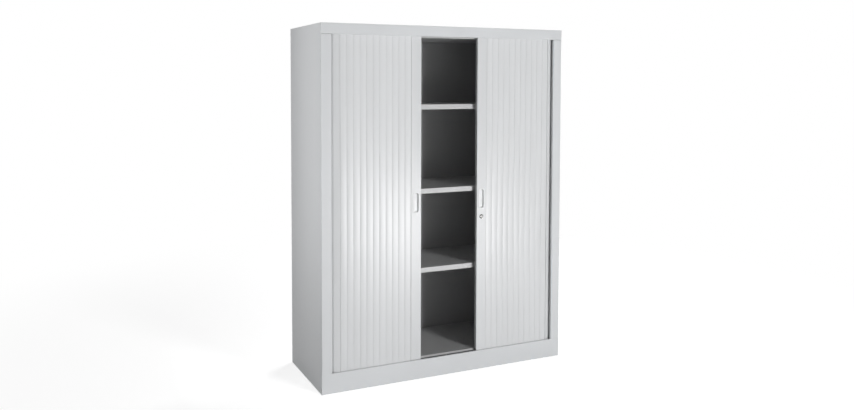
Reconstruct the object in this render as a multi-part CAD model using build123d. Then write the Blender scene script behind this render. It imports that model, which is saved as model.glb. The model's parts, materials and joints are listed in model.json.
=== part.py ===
from build123d import *

import os
from math import atan2, cos, degrees, pi, radians, sin

# A side-opening tambour cupboard: a folded steel carcass, an inner skin with three shelves, and two
# slatted shutters that run in tracks along the front, round the corners and back along the sides.
# Millimetres. The origin is the middle of the footprint on the floor, +Z is up, and the front faces -Y.
# Whatever is handed is drawn for the right and mirrored for the left. Whatever is at the bottom and
# again at the top is drawn at the bottom and mirrored there.

# Overall size
width = 1200.0
depth = 430.0
height = 1560.0

# Sheet metal
sheet = 1.2
liner_sheet = 1.0
bend = 2.0  # outer radius of a fold in the carcass
liner_bend = 1.6
fit_gap = 0.3  # between edges that are fitted without a weld

# Outer carcass
stile_width = 45.0
stile_lip = 11.5
plinth_height = 86.0
top_rail_height = 46.0
rail_ledge = 7.5
rail_hem = 25.0
floor_flange = 25.0
top_flange = 20.0
rear_flange = 20.0

# Shutter path: the line of the slats' pivots
front_setback = 13.0
side_setback = 14.0
corner_radius = 66.0

# Tracks
groove_width = 10.0
track_wall = 1.5
track_floor = 1.5
track_height = 12.0
track_end = 3.0  # from the cupboard's middle to the end of a front run
rear_run = 110.0
pan_drop = 14.0  # from a rail's edge to the pan that carries the tracks
pan_flange = 22.0

# Floor and ceiling trays
tray_rise = 4.0  # how far a tray stands past the rail's edge
tray_gap = 9.0
tray_liner_gap = 0.5

# Slats
slat_pitch = 30.0
slat_count = 17
front_slat_count = 11
slat_wall = 1.4
bead_radius = 2.0
bead_gap = 0.3
bead_sides = 6  # the bead and its socket are drawn as polygons
neck = 1.4
slat_face_end = 4.6  # from the end of a slat's face to the pivot of the next
slat_crown = 0.8
slat_droop = 0.3
mouth_inner = 58.0  # how far the socket's mouth opens to each side of the straight run, in degrees
mouth_outer = 25.0
end_float = 0.3

# Where the shutters stand
left_lead = 134.0
right_lead = 148.5

# Lead rails
rail_pivot = 53.0
rail_front = 4.3
rail_depth = 16.3
rail_wall = 1.6
rail_edge = 1.2
rail_track_gap = 2.0  # from the track up to the rail's end
rail_tongue = 4.0  # the thickness behind the pivot line that passes in front of the tray
rail_tray_gap = 2.5  # from the tray up to where the rail has its full depth

# End glides
glide_gap = 0.3
glide_plug = 20.0

# Pulls
pull_height = 785.0
pull_width = 26.0
pull_length = 86.0
pull_radius = 9.0
pull_flange = 2.5
pull_flange_thickness = 1.4
pull_wall = 1.5
pull_depth = 10.0
pull_draft = 9.0

# Lock
lock_drop = 39.0  # from the lower end of the pull to the lock's axis
barrel_radius = 5.6
barrel_gap = 0.1
housing_wall = 2.0
bezel_width = 1.8
bezel_thickness = 2.0
housing_depth = 10.3
barrel_proud = 0.4
boss_radius = 3.9
hook_gap = 0.1
hook_clear = 0.7  # from the housing's back to the hook
hook_thickness = 2.0
hook_reach = 36.0
hook_width = 9.0
nib_length = 7.0
nib_height = 10.0
key_slot_width = 2.2
key_slot_length = 7.0
key_slot_depth = 5.0
stake_radius = 5.2
stake_thickness = 1.0
hook_slot_above = 9.0
hook_slot_below = 35.0
hook_slot_gap = 0.5
striker_thickness = 1.2
striker_margin = 9.0
striker_catch = 2.0  # how much tighter than the rail's slot the striker's slot is

# Inner skin
liner_setback = 40.0  # from the outer side face to the liner's outer face
liner_front = 38.0  # from the front plane
liner_rear = 40.0  # from the back plane
liner_flange = 12.0
liner_flange_relief = 47.0
back_flange_relief = 15.0

# Shelves
shelf_tops = (486.0, 841.0, 1216.0)
shelf_sheet = 1.0
shelf_rim = 22.0
shelf_hem = 12.0
shelf_side_gap = 1.5
shelf_rear_gap = 3.0
rib_width = 60.0
rib_depth = 18.0
rib_foot = 12.0

# Slot columns and shelf clips
column_inset = 48.0  # from the liner's front and rear edges
slot_pitch = 20.0
slots_each_side = 1  # slots above and below each shelf's own slot
slot_width = 12.0
slot_height = 7.0
clip_sheet = 1.5
clip_ledge = 14.0
clip_width = 18.0
clip_tongue_width = 11.0
clip_drop = 3.0  # from the ledge down to the slot
clip_tail = 3.0  # how far the tail reaches below the slot

# Levelling feet
foot_side_inset = 100.0  # from the outer side face to a foot's middle
foot_end_inset = 85.0  # from the front or back plane to a foot's middle
foot_radius = 19.0
foot_sides = 12
foot_height = 14.0
foot_edge = 2.0
stud_radius = 5.0
stud_gap = 0.08
nut_across = 17.0
nut_height = 8.0

# Worked out from the sizes above
half = width / 2
front = -depth / 2
back = depth / 2
middle = (plinth_height + height - top_rail_height) / 2
run_y = front + front_setback
rear_y = back - side_setback
side_x = half - side_setback
corner_x = side_x - corner_radius
front_corner_y = run_y + corner_radius
rear_corner_y = rear_y - corner_radius
pan_top = plinth_height - pan_drop
floor_top = plinth_height + tray_rise
track_half = groove_width / 2 + track_wall
socket_bore = bead_radius + bead_gap
socket_radius = socket_bore + slat_wall
slat_bottom = pan_top + track_floor + end_float
liner_x = half - liner_setback
inner_x = liner_x - liner_sheet
inner_front = front + liner_front
inner_back_y = back - liner_rear
tray_corner = corner_radius - track_half - tray_gap
rail_box = rail_pivot - slat_face_end
rail_back = rail_depth - rail_front
rail_end = pan_top + track_height + rail_track_gap
rail_box_end = floor_top + rail_tray_gap
pull_u = rail_box / 2
lock_height = pull_height - pull_length / 2 - lock_drop
housing_radius = barrel_radius + barrel_gap + housing_wall
hook_y = housing_depth - rail_front + hook_clear


def box(x0, x1, y0, y1, z0, z1):
    """A block between two corners."""
    centre = ((x0 + x1) / 2, (y0 + y1) / 2, (z0 + z1) / 2)
    return Pos(*centre) * Box(x1 - x0, y1 - y0, z1 - z0)


def folded(points, thickness, radius=0):
    """The section of a sheet folded along points, with its thickness to the left of the line."""
    line = FilletPolyline(*points, radius=radius) if radius else Polyline(*points)
    return make_face(offset(line, amount=thickness, side=Side.LEFT, closed=True))


def extrude_z(section, z0, z1):
    return Pos(0, 0, z0) * extrude(section, z1 - z0)


def extrude_x(section, x0, x1):
    """Extrudes a section drawn with x for the depth and y for the height."""
    return extrude(Plane(origin=(x0, 0, 0), x_dir=(0, 1, 0), z_dir=(1, 0, 0)) * section, x1 - x0)


def to_left(shape):
    return mirror(shape, about=Plane.YZ)


def to_top(shape):
    return mirror(shape, about=Plane.XY.offset(middle))


def save(name, *shapes):
    """Writes one node. Several shapes stay separate solids."""
    shape = shapes[0] if len(shapes) == 1 else Compound(children=list(shapes))
    export_step(shape, f"parts/{name}.step")


# Outer carcass


def side_panel():
    """A side wall folded round into the front stile, with its lip, and the rear flange."""
    stile_inner = half - stile_width
    points = [
        (half - rear_flange, back),
        (half, back),
        (half, front),
        (stile_inner, front),
        (stile_inner, front + stile_lip),
    ]
    z_low, z_high = plinth_height, height - top_rail_height
    points = [(-x, y) for x, y in points]
    face = folded(points, sheet, bend)
    outline = mirror(face, about=Plane.YZ)
    panel = extrude_z(outline, 0, height - sheet)
    ends = [(0, z_low), (z_high, height)]
    for z0, z1 in ends:
        panel -= box(stile_inner - 1, half + 1, front - 1, front + sheet, z0 - 1, z1)
        panel -= box(stile_inner - 1, half - sheet, front - 1, front + stile_lip + 1, z0 - 1, z1)
    wall_ends = [(0, z_low), (z_high, height - sheet)]
    for z0, z1 in wall_ends:
        panel += box(half - sheet, half, front + sheet, front + 2 * bend, z0, z1)
    foot_front = front + rail_hem + fit_gap
    panel += box(half - floor_flange, half, foot_front, back - sheet, 0, sheet)
    top = height - sheet
    flange_front = front + bend + fit_gap
    panel += box(half - top_flange, half, flange_front, back - 2 * sheet, top - sheet, top)
    return panel


def front_rail():
    """The plinth's front: a full-width channel with a ledge at the top and a hem on the floor."""
    points = [
        (front + rail_ledge, plinth_height),
        (front, plinth_height),
        (front, 0),
        (front + rail_hem, 0),
    ]
    rail = extrude_x(folded(points, sheet, bend), -half, half)
    inside = half - sheet - fit_gap
    for x0, x1 in ((-half - 1, -inside), (inside, half + 1)):
        rail -= box(x0, x1, front + sheet, front + rail_hem + 1, -1, plinth_height + 1)
    return rail


def top_panel():
    """The lid with its front turned down into the top rail and its rear edge turned down."""
    low = height - top_rail_height
    points = [
        (front + rail_ledge, low),
        (front, low),
        (front, height),
        (back, height),
        (back, height - rear_flange),
    ]
    points.reverse()
    panel = extrude_x(folded(points, sheet, bend), -half, half)
    inside = half - sheet - fit_gap
    rear_inside = half - rear_flange - fit_gap
    for sign in (-1, 1):
        ends = sorted((sign * inside, sign * (half + 1)))
        panel -= box(*ends, front + sheet, front + rail_ledge + 1, low - 1, height - sheet)
        ends = sorted((sign * rear_inside, sign * (half + 1)))
        panel -= box(*ends, back - 2 * bend, back + 1, low - 1, height - sheet)
    return panel


def back_panel():
    """The back, seated inside the side walls' flanges, with a hem on the floor."""
    y = back - sheet
    hem = rear_flange
    points = [(y, height - 2 * sheet), (y, 0), (y - hem, 0)]
    points = [(-a, b) for a, b in points]
    section = mirror(folded(points, sheet, bend), about=Plane.YZ)
    x = half - bend - fit_gap
    panel = extrude_x(section, -x, x)
    hem_x = half - floor_flange - fit_gap
    for sign in (-1, 1):
        ends = sorted((sign * hem_x, sign * (half + 1)))
        panel -= box(*ends, y - hem - 1, y + 1, -1, sheet + fit_gap)
    return panel


def pan():
    """The carcass's inner floor with turned-down edges: it carries the track, the tray and the feet."""
    x = half - sheet
    y0, y1 = front + sheet, back - 2 * sheet
    shape = box(-x, x, y0, y1, pan_top - pan_flange, pan_top)
    inside = (-x + sheet, x - sheet, y0 + sheet, y1 - sheet)
    return shape - box(*inside, pan_top - pan_flange - 1, pan_top - sheet)


def tray_outline(inset):
    """The ground that a tray covers: between the liners, with front corners that clear the track."""
    x = inner_x - tray_liner_gap - inset
    y1 = inner_back_y - liner_sheet - tray_liner_gap - inset
    radius = tray_corner - inset
    y0 = front_corner_y - radius
    clear_of_track = Pos(0, front_corner_y + back) * RectangleRounded(
        2 * (corner_x + radius), 2 * (back + radius), radius
    )
    return clear_of_track & Pos(0, (y0 + y1) / 2) * Rectangle(2 * x, y1 - y0)


def tray():
    """A floor tray turned over, with a skirt all round that stands on the pan."""
    shape = extrude_z(tray_outline(0), pan_top, floor_top)
    return shape - extrude_z(tray_outline(sheet), pan_top - 1, floor_top - sheet)


# Tracks


def path_band(reach):
    """The ground covered by everything within reach of the right shutter's path."""
    turn_out, turn_in = Circle(corner_radius + reach), Circle(corner_radius - reach)
    ring = turn_out - turn_in
    size = 2 * (corner_radius + reach)
    band = Pos((track_end + corner_x) / 2, run_y) * Rectangle(corner_x - track_end, 2 * reach)
    front_turn = ring & Pos(size / 2, -size / 2) * Rectangle(size, size)
    rear_turn = ring & Pos(size / 2, size / 2) * Rectangle(size, size)
    band += Pos(corner_x, front_corner_y) * front_turn
    side_length = rear_corner_y - front_corner_y
    side_middle = (rear_corner_y + front_corner_y) / 2
    band += Pos(side_x, side_middle) * Rectangle(2 * reach, side_length)
    band += Pos(corner_x, rear_corner_y) * rear_turn
    band += Pos(corner_x - rear_run / 2, rear_y) * Rectangle(rear_run, 2 * reach)
    return band


def track():
    """A grooved track for the shutter's lower ends, standing on the pan."""
    shape = extrude_z(path_band(track_half), pan_top, pan_top + track_height)
    groove = path_band(groove_width / 2)
    return shape - extrude_z(groove, pan_top + track_floor, pan_top + track_height + 1)


# Shutters


def path_point(s):
    """The point a distance s along the right shutter's path from the cupboard's middle."""
    quarter = corner_radius * pi / 2
    if s <= corner_x:
        return Vector(s, run_y)
    s -= corner_x
    if s <= quarter:
        turn = s / corner_radius
        return Vector(corner_x, front_corner_y) + Vector(sin(turn), -cos(turn)) * corner_radius
    s -= quarter
    if s <= rear_corner_y - front_corner_y:
        return Vector(side_x, front_corner_y + s)
    s -= rear_corner_y - front_corner_y
    if s <= quarter:
        turn = s / corner_radius
        return Vector(corner_x, rear_corner_y) + Vector(cos(turn), sin(turn)) * corner_radius
    return Vector(corner_x - (s - quarter), rear_y)


def next_pivot(s):
    """The distance along the path of the point one slat further on, measured straight across."""
    start = path_point(s)
    low, high = s, s + 2 * slat_pitch
    for _ in range(50):
        guess = (low + high) / 2
        if (path_point(guess) - start).length < slat_pitch:
            low = guess
        else:
            high = guess
    return low


def hook_end(pivot_x):
    """The neck and bead that carry a piece's next neighbour, with the bead at pivot_x."""
    root = pivot_x - slat_face_end - slat_wall
    shape = Pos((root + pivot_x) / 2, 0) * Rectangle(pivot_x - root, neck)
    return shape + Pos(pivot_x, 0) * RegularPolygon(bead_radius, bead_sides)


def slat_section():
    """A slat: socket at the origin, crowned face towards -Y, and the bead one pitch away along X."""
    mouth = [radians(a) for a in (180 - mouth_inner, 180, 180 + mouth_outer)]
    far = 3 * socket_radius
    wedge = [(0, 0)] + [(far * cos(a), far * sin(a)) for a in mouth] + [(0, 0)]
    socket = RegularPolygon(socket_radius, bead_sides, major_radius=False)
    bore = RegularPolygon(socket_bore, bead_sides, major_radius=False)
    shape = socket - bore - make_face(Polyline(*wedge))
    end = slat_pitch - slat_face_end
    crown_y, end_y = -socket_radius - slat_crown, -socket_radius + slat_droop
    outer = ThreePointArc((0, -socket_radius), (end * 0.55, crown_y), (end, end_y))
    inner_end = end_y + slat_wall
    inner = ThreePointArc((end, inner_end), (end * 0.55, crown_y + slat_wall), (0, -socket_bore))
    drop = Line((end, end_y), (end, inner_end))
    start = Line((0, -socket_bore), (0, -socket_radius))
    shape += make_face(Curve() + [outer, drop, inner, start])
    wall_low, wall_high = end_y + slat_wall / 2, neck / 2
    wall_x = end - slat_wall / 2
    shape += Pos(wall_x, (wall_low + wall_high) / 2) * Rectangle(slat_wall, wall_high - wall_low)
    shape += hook_end(slat_pitch)
    return shape


def slats(lead):
    """All of one shutter's slats, each laid from its own pivot to the next one's."""
    blank = extrude_z(slat_section(), slat_bottom, 2 * middle - slat_bottom)
    placed = []
    s = lead + rail_pivot
    for _ in range(slat_count):
        following = next_pivot(s)
        start, end = path_point(s), path_point(following)
        turn = degrees(atan2(end.Y - start.Y, end.X - start.X))
        placed.append(Location((start.X, start.Y, 0), (0, 0, turn)) * blank)
        s = following
    return placed


def rounded_block(u, y0, y1, z, across, along, radius):
    """A block with rounded corners seen from the front, from y0 back to y1."""
    face = Plane(origin=(u, y0, z), x_dir=(1, 0, 0), z_dir=(0, 1, 0)) * RectangleRounded(
        across, along, radius
    )
    return extrude(face, y1 - y0)


def rod(u, y0, y1, z, radius):
    """A round bar along Y."""
    return Pos(u, (y0 + y1) / 2, z) * Rot(90, 0, 0) * Cylinder(radius, y1 - y0)


def hook_slot(u0, u1, tighter):
    """The slot that the hook swings through, in a wall from u0 to u1."""
    low = lock_height - hook_slot_below + tighter / 2
    high = lock_height + hook_slot_above - tighter
    y0, y1 = hook_y - hook_slot_gap, hook_y + hook_thickness + hook_slot_gap
    return box(u0, u1, y0, y1, low, high)


def lead_rail():
    """The hollow leading rail, drawn from its leading edge at X 0, pivot line at Y 0."""
    outline = Pos(rail_box / 2, (rail_back - rail_front) / 2) * Rectangle(rail_box, rail_depth)
    outline = fillet(outline.vertices().group_by(Axis.X)[0], rail_edge)
    cavity = Pos(rail_box / 2, (rail_back - rail_front) / 2) * Rectangle(
        rail_box - 2 * rail_wall, rail_depth - 2 * rail_wall
    )
    section = outline - cavity + hook_end(rail_pivot)
    rail = extrude_z(section, rail_end, 2 * middle - rail_end)
    notch = box(-1, rail_pivot, rail_tongue, rail_back + 1, rail_end - 1, rail_box_end)
    rail -= notch
    rail -= to_top(notch)
    cut = pull_width + 2 * fit_gap, pull_length + 2 * fit_gap, pull_radius + fit_gap
    rail -= rounded_block(pull_u, -rail_front - 1, 0, pull_height, *cut)
    rail -= hook_slot(-1, rail_wall + 1, 0)
    return rail


def lock_rail():
    """The lead rail with the hole for the lock housing."""
    return lead_rail() - rod(pull_u, -rail_front - 1, 0, lock_height, housing_radius + fit_gap)


def end_glides():
    """Two plastic caps for a lead rail's ends: a shoe that runs on the track's floor, and a plug."""
    u0, u1 = rail_wall + glide_gap, rail_box - rail_wall - glide_gap
    y0 = -rail_front + rail_wall + glide_gap
    top = rail_box_end + glide_plug
    glide = box(0, rail_box, -rail_front, rail_tongue, slat_bottom, rail_end - glide_gap)
    glide += box(u0, u1, y0, rail_tongue - glide_gap, rail_end - glide_gap, top)
    plug_back = rail_back - rail_wall - glide_gap
    glide += box(u0, u1, y0, plug_back, rail_box_end + glide_gap, top)
    return [glide, to_top(glide)]


def pull():
    """A moulded cup pull with a drafted pocket, set into the rail's face."""
    face, floor = -rail_front, -rail_front + pull_depth
    outer = rounded_block(pull_u, face, floor, pull_height, pull_width, pull_length, pull_radius)
    rim = (pull_width + 2 * pull_flange, pull_length + 2 * pull_flange, pull_radius + pull_flange)
    flange = rounded_block(pull_u, face - pull_flange_thickness, face, pull_height, *rim)
    cup = outer + flange
    mouth = (pull_width - 2 * pull_wall, pull_length - 2 * pull_wall, pull_radius - pull_wall)
    start = face - pull_flange_thickness
    plane = Plane(origin=(pull_u, start, pull_height), x_dir=(1, 0, 0), z_dir=(0, 1, 0))
    pocket = extrude(plane * RectangleRounded(*mouth), floor - pull_wall - start, taper=pull_draft)
    return cup - pocket


def lock_housing():
    face = -rail_front
    shape = rod(pull_u, face, face + housing_depth, lock_height, housing_radius)
    bezel = rod(pull_u, face - bezel_thickness, face, lock_height, housing_radius + bezel_width)
    shape += chamfer(bezel.faces().sort_by(Axis.Y)[0].edges(), bezel_thickness / 2)
    bore = barrel_radius + barrel_gap
    return shape - rod(pull_u, face - 5, face + housing_depth + 1, lock_height, bore)


def lock_barrel():
    """The turning cylinder with its key slot and the boss that is staked over the hook."""
    start = -rail_front - bezel_thickness - barrel_proud
    boss_start = -rail_front + housing_depth + hook_gap
    boss_end = hook_y + hook_thickness + hook_gap
    shape = rod(pull_u, start, boss_start, lock_height, barrel_radius)
    shape += rod(pull_u, boss_start, boss_end, lock_height, boss_radius)
    x, z = key_slot_width / 2, key_slot_length / 2
    key_end = start + key_slot_depth
    shape += rod(pull_u, boss_end, boss_end + stake_thickness, lock_height, stake_radius)
    return shape - box(pull_u - x, pull_u + x, start - 1, key_end, lock_height - z, lock_height + z)


def lock_hook():
    """The flat hook, hanging down with its nib towards the leading edge."""
    w, top = hook_width / 2, boss_radius + 2.6
    points = [
        (w, 0),
        (w, -hook_reach),
        (-nib_height, -hook_reach),
        (-nib_height, -hook_reach + nib_length),
        (-w, -hook_reach + nib_length),
        (-w, 0),
        (w, 0),
    ]
    outline = make_face(Polyline(*points)) + Circle(top) - Circle(boss_radius + hook_gap)
    plane = Plane(origin=(pull_u, hook_y, lock_height), x_dir=(1, 0, 0), z_dir=(0, -1, 0))
    return extrude(plane * outline, -hook_thickness)


def striker_plate():
    """The steel plate behind the left rail's slot, which the hook's nib rises behind."""
    u0 = rail_wall + glide_gap
    low = lock_height - hook_slot_below - striker_margin
    high = lock_height + hook_slot_above + striker_margin
    y1 = rail_back - rail_wall - glide_gap
    plate = box(u0, u0 + striker_thickness, 0, y1, low, high)
    return plate - hook_slot(u0 - 1, u0 + striker_thickness + 1, striker_catch)


def on_right(shape):
    return Pos(right_lead, run_y, 0) * shape


def on_left(shape):
    return to_left(Pos(left_lead, run_y, 0) * shape)


# Inner skin


def slot_heights():
    """The middle of each slot: a short ladder of them about each shelf."""
    steps = range(-slots_each_side, slots_each_side + 1)
    own = [clip_height(top) - clip_drop - slot_height / 2 for top in shelf_tops]
    return [z + k * slot_pitch for z in own for k in steps]


def clip_height(shelf_top):
    """The underside of the rim that a clip carries."""
    return shelf_top - shelf_rim - clip_sheet


def column_places():
    return (inner_front + column_inset, inner_back_y - column_inset)


def side_liner():
    """The right inner wall with its slot columns, flanged at the rear, the floor and the ceiling."""
    points = [(liner_x, inner_front), (liner_x, inner_back_y), (liner_x - rear_flange, inner_back_y)]
    wall = folded(points, liner_sheet, liner_bend)
    top = 2 * middle - pan_top
    shape = extrude_z(wall, pan_top, top)
    y0, y1 = inner_front + liner_flange_relief, inner_back_y - liner_flange_relief
    flange = box(liner_x - liner_sheet, liner_x + liner_flange, y0, y1, pan_top, pan_top + liner_sheet)
    shape += flange
    shape += to_top(flange)
    for y in column_places():
        for z in slot_heights():
            w, h = slot_width / 2, slot_height / 2
            shape -= box(liner_x - 2 * liner_sheet, liner_x + liner_sheet, y - w, y + w, z - h, z + h)
    return shape


def back_liner():
    """The inner back wall, with flanges that stop short of the tracks' rear corners."""
    y, top = inner_back_y, 2 * middle - pan_top
    x = liner_x - back_flange_relief
    shape = box(-liner_x, liner_x, y, y + liner_sheet, pan_top, top)
    flange = box(-x, x, y, y + liner_flange, pan_top, pan_top + liner_sheet)
    shape += flange
    return shape + to_top(flange)


def shelf(top):
    """A shelf folded down all round and hemmed under at the front."""
    x = inner_x - shelf_side_gap
    y0, y1 = inner_front, inner_back_y - liner_sheet - shelf_rear_gap
    low = top - shelf_rim
    shape = box(-x, x, y0, y1, low, top)
    t = shelf_sheet
    shape -= box(-x + t, x - t, y0 + t, y1 - t, low - 1, top - t)
    shape += box(-x, x, y0, y0 + shelf_hem, low, low + t)
    return shape


def shelf_rib(top):
    """The hat-section stiffener welded under a shelf."""
    x = inner_x - shelf_side_gap - rib_depth
    half_rib, high = rib_width / 2, top - shelf_sheet
    y = (inner_front + inner_back_y) / 2
    low = high - rib_depth
    points = [
        (y - half_rib - rib_foot, high),
        (y - half_rib, high),
        (y - half_rib, low),
        (y + half_rib, low),
        (y + half_rib, high),
        (y + half_rib + rib_foot, high),
    ]
    points.reverse()
    return extrude_x(folded(points, liner_sheet), -x, x)


def shelf_clip(y, top):
    """A clip hooked through a slot, with the ledge that carries the shelf's rim."""
    z = clip_height(top)
    w = clip_width / 2
    clip = box(inner_x - clip_ledge, inner_x, y - w, y + w, z, z + clip_sheet)
    drop = clip_drop + clip_sheet
    clip += box(inner_x - clip_sheet, inner_x, y - w, y + w, z - 3 * drop, z + clip_sheet)
    n = clip_tongue_width / 2
    tongue_top = z - clip_drop - fit_gap
    tail = liner_x + fit_gap
    clip += box(inner_x - clip_sheet, tail + clip_sheet, y - n, y + n, tongue_top - clip_sheet, tongue_top)
    tail_low = tongue_top - clip_sheet - slot_height - clip_tail
    clip += box(tail, tail + clip_sheet, y - n, y + n, tail_low, tongue_top)
    return clip


def shelf_clips():
    clips = [shelf_clip(y, top) for top in shelf_tops for y in column_places()]
    return clips + [to_left(clip) for clip in clips]


# Levelling feet


def foot_places():
    x_end, y_end = half - foot_side_inset, back - foot_end_inset
    return [(x, y) for x in (-x_end, x_end) for y in (-y_end, y_end)]


def levelling_foot(x, y):
    """A threaded stud moulded into a faceted base, turned by hand to level the cupboard."""
    base = extrude(RegularPolygon(foot_radius, foot_sides), foot_height)
    base = chamfer(base.edges().group_by(Axis.Z)[-1], foot_edge)
    high = pan_top - sheet - fit_gap
    stud = Pos(0, 0, (foot_height + high) / 2) * Cylinder(stud_radius, high - foot_height)
    return Pos(x, y, 0) * (base + stud)


def foot_nuts():
    """Square weld nuts under the pan."""
    blank = Pos(0, 0, nut_height / 2) * Box(nut_across, nut_across, nut_height)
    bore = Pos(0, 0, nut_height / 2) * Cylinder(stud_radius + stud_gap, 2 * nut_height)
    nut = blank - bore
    low = pan_top - sheet - nut_height
    return [Pos(x, y, low) * nut for x, y in foot_places()]


os.makedirs("parts", exist_ok=True)

side = side_panel()
save("right_side_panel", side)
save("left_side_panel", to_left(side))
save("bottom_front_rail", front_rail())
save("top_panel", top_panel())
save("back_panel", back_panel())
save("bottom_pan", pan())
save("top_pan", to_top(pan()))
save("floor_tray", tray())
save("ceiling_tray", to_top(tray()))

bottom_track = track()
save("bottom_track_right", bottom_track)
save("bottom_track_left", to_left(bottom_track))
save("top_track_right", to_top(bottom_track))
save("top_track_left", to_left(to_top(bottom_track)))

liner = side_liner()
save("right_side_liner", liner)
save("left_side_liner", to_left(liner))
save("back_liner", back_liner())
for number, shelf_top in enumerate(shelf_tops, 1):
    save(f"shelf_{number}", shelf(shelf_top))
    save(f"shelf_rib_{number}", shelf_rib(shelf_top))
save("shelf_clips", *shelf_clips())

save("right_lead_rail", on_right(lock_rail()))
save("left_lead_rail", on_left(lead_rail()))
save("right_pull", on_right(pull()))
save("left_pull", on_left(pull()))
save("right_end_glides", *[on_right(glide) for glide in end_glides()])
save("left_end_glides", *[on_left(glide) for glide in end_glides()])
save("lock_housing", on_right(lock_housing()))
save("lock_barrel", on_right(lock_barrel()))
save("lock_hook", on_right(lock_hook()))
save("striker_plate", on_left(striker_plate()))

right_slats = slats(right_lead)
left_slats = [to_left(slat) for slat in slats(left_lead)]
save("right_front_slats", *right_slats[:front_slat_count])
save("right_corner_slats", *right_slats[front_slat_count:])
save("left_front_slats", *left_slats[:front_slat_count])
save("left_corner_slats", *left_slats[front_slat_count:])

corners = ("left_front", "left_rear", "right_front", "right_rear")
for (foot_at_x, foot_at_y), end in zip(foot_places(), corners):
    save(f"{end}_foot", levelling_foot(foot_at_x, foot_at_y))
save("foot_nuts", *foot_nuts())
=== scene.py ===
import math

import bmesh
import bpy
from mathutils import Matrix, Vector
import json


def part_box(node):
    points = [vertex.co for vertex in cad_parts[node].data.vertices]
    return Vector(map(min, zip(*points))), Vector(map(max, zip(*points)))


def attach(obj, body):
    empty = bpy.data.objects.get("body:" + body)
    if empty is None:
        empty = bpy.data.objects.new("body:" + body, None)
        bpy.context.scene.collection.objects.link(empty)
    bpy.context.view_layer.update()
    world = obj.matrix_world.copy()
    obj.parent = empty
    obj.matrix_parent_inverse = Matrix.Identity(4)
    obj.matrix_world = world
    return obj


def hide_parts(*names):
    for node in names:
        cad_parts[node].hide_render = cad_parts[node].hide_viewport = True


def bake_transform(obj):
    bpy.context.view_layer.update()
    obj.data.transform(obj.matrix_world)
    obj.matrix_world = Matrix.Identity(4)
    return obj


# The looks of a side-opening tambour cupboard. Metres, in the frame's own axes: the front faces -Y.

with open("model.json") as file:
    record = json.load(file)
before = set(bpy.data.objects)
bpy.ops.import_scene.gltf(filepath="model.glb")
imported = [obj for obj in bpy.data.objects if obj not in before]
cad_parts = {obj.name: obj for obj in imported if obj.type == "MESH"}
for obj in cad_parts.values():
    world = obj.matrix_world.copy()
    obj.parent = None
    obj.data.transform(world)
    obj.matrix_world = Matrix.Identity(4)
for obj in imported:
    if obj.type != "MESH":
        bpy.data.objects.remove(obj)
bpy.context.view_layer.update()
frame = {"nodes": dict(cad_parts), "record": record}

# Slats
SLAT_PITCH = 0.030
SLATS_IN_FRONT = 11
SLATS_ROUND_CORNER = 6
SLAT_WALL = 0.0014
SLAT_FACE_END = 0.0039  # from the end of a slat's face to the pivot of the next
SLAT_SHOULDER = 0.0035  # from a slat's pivot back to the start of its face
SLAT_CROWN = 0.0005
SLAT_CROWN_AT = 0.55  # where the crown is highest, as a share of the face
SLAT_DROOP = 0.0002  # how far the face falls back at its end
SLAT_EDGE = 0.0004  # rounding of the face's two edges
BEAD_RADIUS = 0.0020
SOCKET_BORE = 0.0023
SOCKET_JOIN = -41.0  # where the face's inner side meets the socket, in degrees
NECK = 0.0014
MOUTH_INNER = 58.0  # how far the socket's mouth opens inwards from the straight run, in degrees
MOUTH_OUTER = 25.0  # and outwards

# The shutters' path
RAIL_PIVOT = 0.053  # from a shutter's leading edge to its first slat's pivot
TRACK_HALF = 0.0065
CORNER_RADIUS = 0.066

# Pulls
PULL_WALL = 0.0015
PULL_DRAFT = 9.0  # degrees
PULL_FLANGE = 0.0025  # how far the flange reaches past the cup
PULL_FLANGE_THICKNESS = 0.0014
PULL_CORNER = 0.0115
PULL_EDGE = 0.0009  # rounding of the flange's outer edge
PULL_LIP = 0.0008  # rounding of the mouth's edge
PULL_FLOOR_ROUND = 0.0026
PULL_LEAST_CORNER = 0.0016
PULL_FLOOR_RISE = ((0.30, 0.00065, 0.0004), (0.048, 0.000272, 0.0006))  # share of the width, corner, rise

# Lock
LOCK_CLEARANCE = 0.0001
LOCK_BODY_WALL = 0.0021  # from the barrel to the outside of the body
LOCK_RIM = 0.0006  # from the barrel to the black ring of painted shade round the lock
LOCK_FLANGE = 0.0020  # how far the lock's face stands off the rail
LOCK_SHARP = 15.0  # degrees above which an edge stays sharp
BARREL_STEM = 0.0039
BARREL_END = 0.0052
BARREL_END_THICKNESS = 0.001
BARREL_FACE_INNER = 0.0040  # from here the face runs in to the key slot
KEY_SLOT = (0.0011, 0.0035)  # half its width and half its length
KEY_SLOT_CORNER = 0.0005
KEY_SLOT_BEVEL = 0.0003
KEY_SLOT_DEPTH = 0.0050
DUST_SHUTTER_FRONT = 0.0009  # behind the barrel's face
DUST_SHUTTER_EDGE = 0.0004
TURNED_POINTS = 48
TENTH = 0.0001  # a tenth of a millimetre

# Camera
CAMERA_PLACE = (-1.633, -3.227, 1.305)
CAMERA_YAW = 23.613  # degrees from +Y towards +X
CAMERA_DOWN = 2.65  # degrees below level
FOCAL_PIXELS = 769.5  # the focal length in pixels of the picture
AXIS_PIXEL = (384.0, 120.0)  # where the camera's axis meets the picture
PICTURE = (854, 410)
SENSOR = 36.0  # millimetres

# Light and floor
WHITE = (1.0, 1.0, 1.0, 1.0)
WORLD_LIGHT = 0.12
PAPER_DARK = (0.80, 0.80, 0.80, 1.0)
PAPER_LIGHT = (0.83, 0.83, 0.83, 1.0)
FLOOR_REACH = 14.0
FLOOR_LIFT = 0.66  # added to what the camera sees of the floor near the object
FLOOR_FADE = (1.0, 3.2)  # distances between which the floor turns white


# Shader helpers


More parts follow.
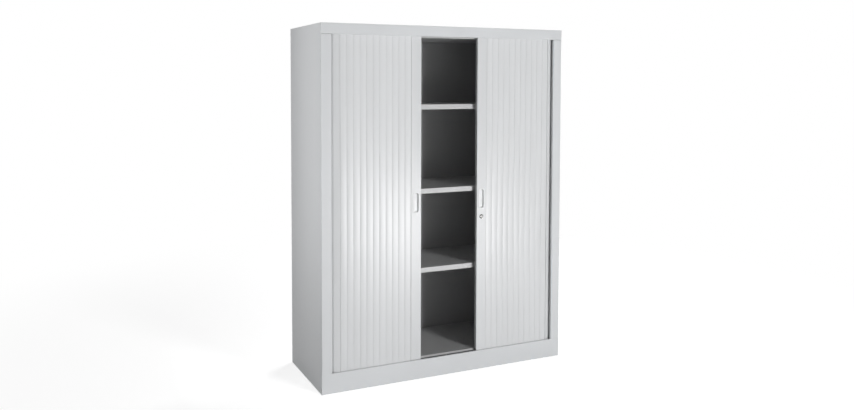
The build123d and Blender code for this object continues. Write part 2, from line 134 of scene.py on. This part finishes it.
def node(tree, kind, links=None, **settings):
    """Adds a shader node. links maps an input's name or number to a value or another node's output."""
    made = tree.nodes.new(kind)
    for name, value in settings.items():
        setattr(made, name, value)
    for name, value in (links or {}).items():
        if isinstance(value, bpy.types.NodeSocket):
            tree.links.new(value, made.inputs[name])
        else:
            made.inputs[name].default_value = value
    return made


def linear(grey, warm=0.0):
    """A linear colour from an sRGB grey of 0 to 255, with warm added to red and taken from blue."""
    values = [(grey + shift) / 255 for shift in (warm, 0.0, -warm)]
    return tuple(v / 12.92 if v <= 0.04045 else ((v + 0.055) / 1.055) ** 2.4 for v in values) + (1.0,)


def scaled(colour, factor):
    return tuple(min(1.0, c * factor) for c in colour[:3]) + (1.0,)


def material(name, roughness, metallic=0.0):
    """A Principled material with object coordinates to hand."""
    made = bpy.data.materials.new(name)
    made.use_nodes = True
    tree = made.node_tree
    shader = next(n for n in tree.nodes if n.type == "BSDF_PRINCIPLED")
    shader.inputs["Roughness"].default_value = roughness
    shader.inputs["Metallic"].default_value = metallic
    place = node(tree, "ShaderNodeTexCoord").outputs["Object"]
    return made, tree, shader, place


def connect(tree, shader, colour, roughness, normal):
    for name, value in (("Base Color", colour), ("Roughness", roughness), ("Normal", normal)):
        tree.links.new(value, shader.inputs[name])


def stretched(tree, place, scale):
    """Coordinates scaled along each axis. A smaller number draws the pattern out further."""
    return node(tree, "ShaderNodeMapping", {"Vector": place, "Scale": scale}).outputs["Vector"]


def noise(tree, place, scale=1.0, detail=2.0, roughness=0.5):
    links = {"Vector": place, "Scale": scale, "Detail": detail, "Roughness": roughness}
    return node(tree, "ShaderNodeTexNoise", links).outputs["Fac"]


def voronoi(tree, place, scale, output):
    return node(tree, "ShaderNodeTexVoronoi", {"Vector": place, "Scale": scale}).outputs[output]


def ranged(tree, value, low=0.0, high=1.0, start=0.3, end=0.7):
    """value, with start to end mapped to low to high."""
    links = {"Value": value, "From Min": start, "From Max": end, "To Min": low, "To Max": high}
    return node(tree, "ShaderNodeMapRange", links).outputs["Result"]


def calculated(tree, operation, first, second, **settings):
    links = {0: first, 1: second}
    return node(tree, "ShaderNodeMath", links, operation=operation, **settings).outputs["Value"]


def mixed(tree, factor, first, second):
    # The colour sockets of a Mix node are its inputs 6 and 7 and its output 2
    return node(tree, "ShaderNodeMix", {0: factor, 6: first, 7: second}, data_type="RGBA").outputs[2]


def blended(tree, factor, first, second):
    return node(tree, "ShaderNodeMixShader", {0: factor, 1: first, 2: second}).outputs[0]


def bumped(tree, height, strength, distance, normal=None):
    links = {"Height": height, "Strength": strength, "Distance": distance}
    if normal is not None:
        links["Normal"] = normal
    return node(tree, "ShaderNodeBump", links).outputs["Normal"]


def edge_wear(tree, radius):
    """1 at sharp edges and 0 on flat faces, and the normal of the same edges rounded."""
    rounded = node(tree, "ShaderNodeBevel", {"Radius": radius}, samples=4).outputs["Normal"]
    plain = node(tree, "ShaderNodeNewGeometry").outputs["Normal"]
    along = node(tree, "ShaderNodeVectorMath", {0: rounded, 1: plain}, operation="DOT_PRODUCT")
    return ranged(tree, along.outputs["Value"], low=1.0, high=0.0, start=0.75, end=0.98), rounded


# Materials


def powder_coat(name, base, worn):
    """Satin powder coat: a fine orange peel, slow drifts of tone, and slightly rubbed folds."""
    roughness = 0.42
    made, tree, shader, place = material(name, roughness)
    edge, rounded = edge_wear(tree, radius=0.0006)
    drift = ranged(tree, noise(tree, place, scale=2.2, detail=3.0))
    tone = mixed(tree, drift, base, scaled(base, 0.965))
    speckle = ranged(tree, noise(tree, place, scale=1400.0, detail=1.0), high=0.10, start=0.5, end=0.8)
    tone = mixed(tree, speckle, tone, worn)
    rubbed = calculated(tree, "MULTIPLY", edge, noise(tree, place, scale=40.0))
    colour = mixed(tree, rubbed, tone, worn)
    smears = noise(tree, place, scale=55.0, detail=4.0)
    gloss = ranged(tree, smears, low=roughness - 0.05, high=roughness + 0.07)
    peel = noise(tree, place, scale=620.0, roughness=0.6)
    connect(tree, shader, colour, gloss, bumped(tree, peel, strength=0.10, distance=0.0004, normal=rounded))
    return made


def extruded_finish(name, base, roughness, line=0.05):
    """A drawn or extruded surface: faint lines along Z, and a light variation in tone."""
    made, tree, shader, place = material(name, roughness)
    lines = noise(tree, stretched(tree, place, (900.0, 900.0, 2.5)), detail=3.0, roughness=0.6)
    cloud = noise(tree, stretched(tree, place, (9.0, 9.0, 1.6)), detail=3.0)
    tone = mixed(tree, ranged(tree, cloud), base, scaled(base, 0.95))
    tone = mixed(tree, ranged(tree, lines, high=0.5, start=0.4, end=0.8), tone, scaled(base, 1.04))
    gloss = ranged(tree, lines, low=roughness - 0.04, high=roughness + 0.06)
    connect(tree, shader, tone, gloss, bumped(tree, lines, strength=line, distance=0.0003))
    return made


def grained_plastic(name, base, roughness, grain=1800.0):
    """Moulded plastic with a fine spark-eroded grain."""
    made, tree, shader, place = material(name, roughness)
    spots = voronoi(tree, place, grain, "Distance")
    cloud = noise(tree, place, scale=30.0, detail=4.0)
    tone = mixed(tree, ranged(tree, cloud), base, scaled(base, 0.90))
    gloss = ranged(tree, cloud, low=roughness - 0.04, high=roughness + 0.06)
    connect(tree, shader, tone, gloss, bumped(tree, spots, strength=0.15, distance=0.0002))
    return made


def zinc_plate():
    """Bright zinc plate with a fine spangle."""
    made, tree, shader, place = material("zinc_plate", 0.32, metallic=1.0)
    cells = voronoi(tree, place, 420.0, "Color")
    grey = node(tree, "ShaderNodeRGBToBW", {"Color": cells}).outputs["Val"]
    tone = mixed(tree, grey, (0.50, 0.52, 0.54, 1.0), (0.70, 0.70, 0.69, 1.0))
    gloss = ranged(tree, grey, low=0.24, high=0.42, start=0.0, end=1.0)
    scratches = noise(tree, stretched(tree, place, (1500.0, 60.0, 1500.0)))
    connect(tree, shader, tone, gloss, bumped(tree, scratches, strength=0.05, distance=0.0002))
    return made


def nickel():
    """Polished nickel with faint hairlines."""
    made, tree, shader, place = material("nickel", 0.08, metallic=1.0)
    hairs = noise(tree, stretched(tree, place, (2600.0, 2600.0, 260.0)), detail=3.0)
    tone = mixed(tree, ranged(tree, hairs), (0.66, 0.655, 0.64, 1.0), (0.76, 0.755, 0.74, 1.0))
    gloss = ranged(tree, hairs, low=0.06, high=0.10)
    connect(tree, shader, tone, gloss, bumped(tree, hairs, strength=0.03, distance=0.0001))
    return made


# A finish for each material slot of the record
FINISHES = {
    "carcass_steel": powder_coat("carcass_coat", linear(221, -2.0), worn=linear(236, -1.0)),
    "inner_steel": powder_coat("inner_coat", linear(196, -0.5), worn=linear(214)),
    "slat_plastic": extruded_finish("slat_plastic", linear(224, -1.4), roughness=0.32),
    "rail_aluminium": extruded_finish("rail_coat", linear(221, -1.5), roughness=0.35, line=0.04),
    "pull_plastic": grained_plastic("pull_plastic", linear(240, -1.0), roughness=0.42),
    "track_plastic": grained_plastic("track_plastic", linear(58), roughness=0.45),
    "foot_plastic": grained_plastic("foot_plastic", linear(36), roughness=0.55, grain=900.0),
    "zinc_steel": zinc_plate(),
    "lock_chrome": nickel(),
}


def finish_nodes():
    """Gives each CAD node the material of its slot."""
    slots = {row["node"]: row["material_slot"] for row in frame["record"]["subparts"]}
    for name, thing in frame["nodes"].items():
        thing.data.materials.clear()
        thing.data.materials.append(FINISHES[slots[name]])


# Mesh helpers


def piece(name, vertices, faces, slot, sharp=35.0):
    """A shown piece of the object, smooth where its faces meet at less than sharp degrees."""
    mesh = bpy.data.meshes.new(name)
    mesh.from_pydata(vertices, [], faces)
    skin = bmesh.new()
    skin.from_mesh(mesh)
    bmesh.ops.recalc_face_normals(skin, faces=skin.faces)
    skin.to_mesh(mesh)
    skin.free()
    mesh.shade_smooth()
    mesh.set_sharp_from_angle(angle=math.radians(sharp))
    mesh.materials.append(FINISHES[slot])
    made = bpy.data.objects.new(name, mesh)
    bpy.context.scene.collection.objects.link(made)
    return made


def bridged(loops, closed_ends=True):
    """Vertices and faces of a skin over loops of points that have the same count."""
    count = len(loops[0])
    vertices = [tuple(p) for loop in loops for p in loop]
    faces = []
    for row in range(len(loops) - 1):
        for k in range(count):
            following = (k + 1) % count
            low, high = row * count, (row + 1) * count
            faces.append((low + k, low + following, high + following, high + k))
    if closed_ends:
        faces.append(tuple(reversed(range(count))))
        last = (len(loops) - 1) * count
        faces.append(tuple(range(last, last + count)))
    return vertices, faces


def arc(centre, radius, start, end, steps):
    """Points of an arc in degrees, both ends included."""
    angles = [math.radians(start + (end - start) * k / steps) for k in range(steps + 1)]
    return [(centre[0] + radius * math.cos(a), centre[1] + radius * math.sin(a)) for a in angles]


def quarter_turns(steps, first=0):
    """1 - cosine and 1 - sine of the angles that divide a right angle into steps."""
    turns = [math.radians(90 * k / steps) for k in range(first, steps + 1)]
    return [(1 - math.cos(turn), 1 - math.sin(turn)) for turn in turns]


def rounded_loop(centre, half_width, half_length, radius, y, steps=7):
    """A rounded rectangle facing -Y."""
    cx, cz = centre
    points = []
    for sx, sz, start in ((1, 1, 0), (-1, 1, 90), (-1, -1, 180), (1, -1, 270)):
        middle = (cx + sx * (half_width - radius), cz + sz * (half_length - radius))
        points += [(x, y, z) for x, z in arc(middle, radius, start, start + 90, steps)]
    return points


def turned(centre, outline):
    """Loops of a shape turned about an axis along Y. outline is a list of (radius, y)."""
    loops = []
    last = TURNED_POINTS - 1
    for radius, y in outline:
        ring = arc(centre, radius, 0, 360 * last / TURNED_POINTS, last)
        loops.append([(x, y, z) for x, z in ring])
    return loops


# Slats


def crown_arc(start_y, end, end_y, peak_y):
    """Points from (0, start_y) to (end, end_y) on the circle that rises to peak_y near the middle."""
    ax, ay, bx, by, cx, cy = 0.0, start_y, end * SLAT_CROWN_AT, peak_y, end, end_y
    d = 2 * (ax * (by - cy) + bx * (cy - ay) + cx * (ay - by))
    a2, b2, c2 = ax * ax + ay * ay, bx * bx + by * by, cx * cx + cy * cy
    ux = (a2 * (by - cy) + b2 * (cy - ay) + c2 * (ay - by)) / d
    uy = (a2 * (cx - bx) + b2 * (ax - cx) + c2 * (bx - ax)) / d
    radius = math.hypot(ux, uy - ay)
    start = math.degrees(math.atan2(ay - uy, ax - ux))
    finish = math.degrees(math.atan2(cy - uy, cx - ux))
    return arc((ux, uy), radius, start, finish, steps=10)


def slat_outline():
    """A slat's section: socket at the origin, crowned face towards -Y, and the bead one pitch along X."""
    outer = SOCKET_BORE + SLAT_WALL
    end = SLAT_PITCH - SLAT_FACE_END
    peak, end_y = -outer - SLAT_CROWN, -outer + SLAT_DROOP
    mouth = 180 - MOUTH_INNER
    # The shoulder, the crowned face and its far edge
    points = [(-SLAT_SHOULDER, -outer / 2)]
    points += arc((SLAT_EDGE - SLAT_SHOULDER, SLAT_EDGE - outer), SLAT_EDGE, start=180, end=262, steps=4)
    points += crown_arc(-outer, end - SLAT_EDGE, end_y, peak)
    points += arc((end - SLAT_EDGE, end_y + SLAT_EDGE), SLAT_EDGE, start=-60, end=0, steps=3)
    # The neck and the bead
    lip = math.degrees(math.asin(NECK / 2 / BEAD_RADIUS))
    points.append((end, -NECK / 2))
    points += arc((SLAT_PITCH, 0), BEAD_RADIUS, start=lip - 180, end=180 - lip, steps=10)
    points.append((end - SLAT_WALL, NECK / 2))
    # The face's inner side and the socket
    inner = crown_arc(-SOCKET_BORE, end - SLAT_WALL, end_y + SLAT_WALL, peak + SLAT_WALL)
    points += [p for p in reversed(inner) if math.hypot(*p) > outer]
    points += arc((0, 0), outer, start=SOCKET_JOIN, end=mouth, steps=12)
    points += arc((0, 0), SOCKET_BORE, start=mouth, end=MOUTH_OUTER - 180, steps=12)
    return points


track_low, track_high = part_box("bottom_track_right")
RUN_Y = track_low.y + TRACK_HALF
SIDE_X = track_high.x - TRACK_HALF
CORNER_X = SIDE_X - CORNER_RADIUS
FRONT_CORNER_Y = RUN_Y + CORNER_RADIUS
REAR_CORNER_Y = track_high.y - TRACK_HALF - CORNER_RADIUS


def path_point(s):
    """The point a distance s along the right shutter's path from the cupboard's middle."""
    quarter = CORNER_RADIUS * math.pi / 2
    if s <= CORNER_X:
        return Vector((s, RUN_Y))
    s -= CORNER_X
    if s <= quarter:
        turn = s / CORNER_RADIUS
        return Vector((CORNER_X, FRONT_CORNER_Y)) + Vector((math.sin(turn), -math.cos(turn))) * CORNER_RADIUS
    s -= quarter
    side = REAR_CORNER_Y - FRONT_CORNER_Y
    if s <= side:
        return Vector((SIDE_X, FRONT_CORNER_Y + s))
    turn = (s - side) / CORNER_RADIUS
    return Vector((CORNER_X, REAR_CORNER_Y)) + Vector((math.cos(turn), math.sin(turn))) * CORNER_RADIUS


def next_pivot(s):
    """The distance along the path of the point one slat further on, measured straight across."""
    start = path_point(s)
    low, high = s, s + 2 * SLAT_PITCH
    halvings = 40
    for _ in range(halvings):
        guess = (low + high) / 2
        if (path_point(guess) - start).length < SLAT_PITCH:
            low = guess
        else:
            high = guess
    return low


def slide_with_rail(slat):
    """Bakes a front slat's placement into its mesh; nothing here makes it slide with the rail.
    """
    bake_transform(slat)


def build_slats(side, sign):
    """All the slats of one shutter, each a piece of its own."""
    rail_low, rail_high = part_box(f"{side}_lead_rail")
    first_pivot = (rail_low.x if sign > 0 else -rail_high.x) + RAIL_PIVOT
    bottom, top = (corner.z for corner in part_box(f"{side}_front_slats"))
    outline = slat_outline()
    s = first_pivot
    for number in range(SLATS_IN_FRONT + SLATS_ROUND_CORNER):
        following = next_pivot(s)
        start, end = path_point(s), path_point(following)
        along = (end - start).normalized()
        across = Vector((-along.y, along.x))
        placed = [start + along * x + across * y for x, y in outline]
        loops = [[(sign * p.x, p.y, z) for p in placed] for z in (bottom, top)]
        slat = piece(f"{side}_slat_{number + 1}", *bridged(loops), "slat_plastic")
        if number < SLATS_IN_FRONT:
            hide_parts(f"{side}_front_slats")
            slide_with_rail(slat)
        else:
            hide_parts(f"{side}_corner_slats")
            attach(slat, "cabinet")
        s = following


# Pulls and lock


def build_pull(side):
    """A moulded cup pull: a rounded rim, drafted walls, and a floor that rises gently to its middle."""
    low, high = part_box(f"{side}_pull")
    centre = ((low.x + high.x) / 2, (low.z + high.z) / 2)
    half_width, half_length = (high.x - low.x) / 2, (high.z - low.z) / 2
    rail_face = low.y + PULL_FLANGE_THICKNESS
    floor_y = high.y - PULL_WALL
    mouth = PULL_FLANGE + PULL_WALL
    floor_inset = mouth + (floor_y - low.y - PULL_FLOOR_ROUND) * math.tan(math.radians(PULL_DRAFT))

    # From the back of the cup, over the flange and down into the mouth: (inset, y)
    rims = [(PULL_FLANGE, high.y), (PULL_FLANGE, rail_face), (0.0, rail_face)]
    rims += [(PULL_EDGE * a, low.y + PULL_EDGE * b) for a, b in quarter_turns(4, first=1)]
    rims += [(mouth - PULL_LIP * b, low.y + PULL_LIP * a) for a, b in quarter_turns(4)]
    bend = PULL_FLOOR_ROUND
    rims += [(floor_inset + bend * a, floor_y - bend * b) for a, b in quarter_turns(5)]
    loops = []
    for inset, y in rims:
        corner = max(PULL_CORNER - inset, PULL_LEAST_CORNER)
        loops.append(rounded_loop(centre, half_width - inset, half_length - inset, corner, y))
    for share, corner, rise in PULL_FLOOR_RISE:
        inset = half_width * (1 - share)
        loops.append(rounded_loop(centre, half_width - inset, half_length - inset, corner, floor_y - rise))
    made = piece(f"{side}_cup_pull", *bridged(loops), "pull_plastic", sharp=40.0)
    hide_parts(f"{side}_pull")
    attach(made, f"{side}_shutter")


def profile(*rows):
    """Points (radius, y) from rows of (radius, outwards, y, back), with the offsets in tenths of a mm."""
    return [(radius + outwards * TENTH, y + back * TENTH) for radius, outwards, y, back in rows]


def slot_loop(centre, grown, corner, y):
    """The key slot's outline, grown on all sides, with as many points as a turned loop."""
    steps = TURNED_POINTS // 4 - 1
    return rounded_loop(centre, KEY_SLOT[0] + grown, KEY_SLOT[1] + grown, corner, y, steps)


def build_housing(centre, radius):
    """The lock's nickel bezel, and round it a black ring of painted shade that stands in for the shadow
    round the lock, around a barrel of the radius.
    """
    low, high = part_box("lock_housing")
    bore, body, rim = radius + LOCK_CLEARANCE, radius + LOCK_BODY_WALL, radius + LOCK_RIM
    outer, front, back = (high.x - low.x) / 2, low.y, high.y
    rail_face = front + LOCK_FLANGE
    # The black ring is painted shade: its black stands in for the shadow round the lock
    shade_ring = profile(
        (rim, 0, rail_face, 0),
        (outer, 0, rail_face, 0),
        (outer, 0, rail_face, -3),
        (outer, -1, rail_face, -6),
        (rim, 4, front, 4),
        (rim, 2, front, 3),
        (rim, 0, front, 4),
        (rim, 0, rail_face, 0),
    )
    bezel = profile(
        (body, 0, back, 0),
        (body, 0, rail_face, 1),
        (rim, -0.5, rail_face, 1),
        (rim, -0.5, front, 4),
        (rim, -2, front, 1),
        (rim, -5, front, 0),
        (bore, 5, front, 0),
        (bore, 1, front, 1),
        (bore, 0, front, 5),
        (bore, 0, back, 0),
        (body, 0, back, 0),
    )
    # The ring of painted shade takes the black foot plastic
    rings = (("lock_shade_ring", shade_ring, "foot_plastic"), ("lock_bezel", bezel, "lock_chrome"))
    for name, points, slot in rings:
        ring = piece(name, *bridged(turned(centre, points), closed_ends=False), slot, sharp=LOCK_SHARP)
        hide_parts("lock_housing")
        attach(ring, "right_shutter")


def build_barrel(centre, radius):
    """The turning barrel with its key slot, and the dust shutter in the slot."""
    low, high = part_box("lock_barrel")
    face, back = low.y, high.y
    body_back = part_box("lock_housing")[1].y + LOCK_CLEARANCE
    points = profile(
        (BARREL_END, 0, back, 0),
        (BARREL_END, 0, back - BARREL_END_THICKNESS, 0),
        (BARREL_STEM, 0, back - BARREL_END_THICKNESS, 0),
        (BARREL_STEM, 0, body_back, 0),
        (radius, 0, body_back, 0),
        (radius, 0, face, 6),
        (radius, -2, face, 2),
        (radius, -6, face, 0),
        (BARREL_FACE_INNER, 0, face, 0),
    )
    loops = turned(centre, points)
    loops.append(slot_loop(centre, KEY_SLOT_BEVEL, KEY_SLOT_CORNER + KEY_SLOT_BEVEL, face))
    for depth in (KEY_SLOT_BEVEL, KEY_SLOT_DEPTH):
        loops.append(slot_loop(centre, 0.0, KEY_SLOT_CORNER, face + depth))
    barrel = piece("lock_cylinder", *bridged(loops), "lock_chrome", sharp=LOCK_SHARP)

    plug_back = KEY_SLOT_DEPTH - LOCK_CLEARANCE
    plug_edge = DUST_SHUTTER_FRONT + KEY_SLOT_BEVEL
    plug = [slot_loop(centre, 0.0, KEY_SLOT_CORNER, face + depth) for depth in (plug_back, plug_edge)]
    plug.append(slot_loop(centre, -DUST_SHUTTER_EDGE, DUST_SHUTTER_EDGE, face + DUST_SHUTTER_FRONT))
    shutter = piece("lock_dust_shutter", *bridged(plug), "track_plastic")
    for turning in (barrel, shutter):
        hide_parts("lock_barrel")
        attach(turning, "lock")


def build_lock():
    """A nickel cylinder lock in a black ring of painted shade, centred on its housing."""
    low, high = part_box("lock_housing")
    barrel_low, barrel_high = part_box("lock_barrel")
    centre = ((low.x + high.x) / 2, (low.z + high.z) / 2)
    radius = (barrel_high.x - barrel_low.x) / 2
    build_housing(centre, radius)
    build_barrel(centre, radius)


# Light, floor and camera


def area_lamp(name, place, target, size, power):
    """A rectangular lamp that the camera doesn't see."""
    data = bpy.data.lights.new(name, "AREA")
    data.shape = "RECTANGLE"
    data.size, data.size_y = size
    data.energy = power
    lamp = bpy.data.objects.new(name, data)
    lamp.location = place
    lamp.rotation_euler = (Vector(target) - Vector(place)).to_track_quat("-Z", "Y").to_euler()
    lamp.visible_camera = False
    bpy.context.scene.collection.objects.link(lamp)
    return lamp


def build_lamps():
    """A soft lamp from the right, one beside the left wall, one behind, and the gleam on the shutters."""
    key = area_lamp("key", (1.40, -4.6, 1.25), target=(-6.0, 0.0, 0.8), size=(1.2, 1.2), power=178.0)
    key.visible_glossy = False
    area_lamp("side", (-1.15, -0.16, 1.35), target=(0.0, -0.16, 1.35), size=(0.12, 2.0), power=3.8)
    area_lamp("rear", (3.2, 2.6, 2.4), target=(0.3, 0.1, 0.8), size=(2.0, 2.0), power=110.0)
    gleam = area_lamp("gleam", (0.82, -2.2, 0.30), target=(-0.2, -0.2, 0.75), size=(0.8, 0.5), power=25.0)
    gleam.visible_diffuse = False


def seen_directly(tree):
    """1 for camera, glossy and transmission rays, and 0 for the rest."""
    path = node(tree, "ShaderNodeLightPath").outputs
    first = calculated(tree, "ADD", path["Is Camera Ray"], path["Is Glossy Ray"])
    return calculated(tree, "ADD", first, path["Is Transmission Ray"], use_clamp=True)


def build_world():
    """An even studio sky that shows as white."""
    world = bpy.data.worlds.new("studio")
    world.use_nodes = True
    tree = world.node_tree
    tree.nodes.clear()
    grey = node(tree, "ShaderNodeBackground", {"Color": WHITE, "Strength": WORLD_LIGHT}).outputs[0]
    white = node(tree, "ShaderNodeBackground", {"Color": WHITE, "Strength": 1.0}).outputs[0]
    node(tree, "ShaderNodeOutputWorld", {"Surface": blended(tree, seen_directly(tree), grey, white)})
    bpy.context.scene.world = world


def paper():
    """The floor's material: pale paper that looks brighter than it lights, and turns white far away."""
    made = bpy.data.materials.new("floor_paper")
    made.use_nodes = True
    tree = made.node_tree
    tree.nodes.clear()
    place = node(tree, "ShaderNodeTexCoord").outputs["Object"]
    distance = node(tree, "ShaderNodeVectorMath", {0: place}, operation="LENGTH").outputs["Value"]
    fade = {"Value": distance, "From Min": FLOOR_FADE[0], "From Max": FLOOR_FADE[1]}
    far = node(tree, "ShaderNodeMapRange", fade, interpolation_type="SMOOTHSTEP").outputs["Result"]
    grey = mixed(tree, noise(tree, place, scale=3.0, detail=3.0), PAPER_DARK, PAPER_LIGHT)
    diffuse = node(tree, "ShaderNodeBsdfDiffuse", {"Color": grey}).outputs[0]
    lift = node(tree, "ShaderNodeEmission", {"Color": WHITE, "Strength": FLOOR_LIFT}).outputs[0]
    white = node(tree, "ShaderNodeEmission", {"Color": WHITE, "Strength": 1.0}).outputs[0]
    near = node(tree, "ShaderNodeAddShader", {0: diffuse, 1: lift}).outputs[0]
    shown = blended(tree, far, near, white)
    node(tree, "ShaderNodeOutputMaterial", {"Surface": blended(tree, seen_directly(tree), diffuse, shown)})
    return made


def build_floor():
    """A pale floor that keeps the shadow near the object and runs out into white."""
    mesh = bpy.data.meshes.new("floor")
    corners = [(sx * FLOOR_REACH, sy * FLOOR_REACH, 0) for sx, sy in ((-1, -1), (1, -1), (1, 1), (-1, 1))]
    mesh.from_pydata(corners, [], [(0, 1, 2, 3)])
    mesh.materials.append(paper())
    floor = bpy.data.objects.new("floor", mesh)
    bpy.context.scene.collection.objects.link(floor)


def build_camera():
    """The camera tips down a little, and a shift keeps the uprights nearly parallel."""
    data = bpy.data.cameras.new("camera")
    data.sensor_width = SENSOR
    data.lens = FOCAL_PIXELS / PICTURE[0] * SENSOR
    data.shift_x = (PICTURE[0] / 2 - AXIS_PIXEL[0]) / PICTURE[0]
    data.shift_y = (AXIS_PIXEL[1] - PICTURE[1] / 2) / PICTURE[0]
    data.clip_start, data.clip_end = 0.05, 100.0
    camera = bpy.data.objects.new("camera", data)
    camera.location = CAMERA_PLACE
    camera.rotation_euler = (math.radians(90 - CAMERA_DOWN), 0.0, math.radians(-CAMERA_YAW))
    bpy.context.scene.collection.objects.link(camera)
    bpy.context.scene.camera = camera


bpy.context.scene.view_settings.view_transform = "Standard"
build_camera()
finish_nodes()
for side_name, side_sign in (("left", -1), ("right", 1)):
    build_slats(side_name, side_sign)
    build_pull(side_name)
build_lock()
build_world()
build_floor()
build_lamps()
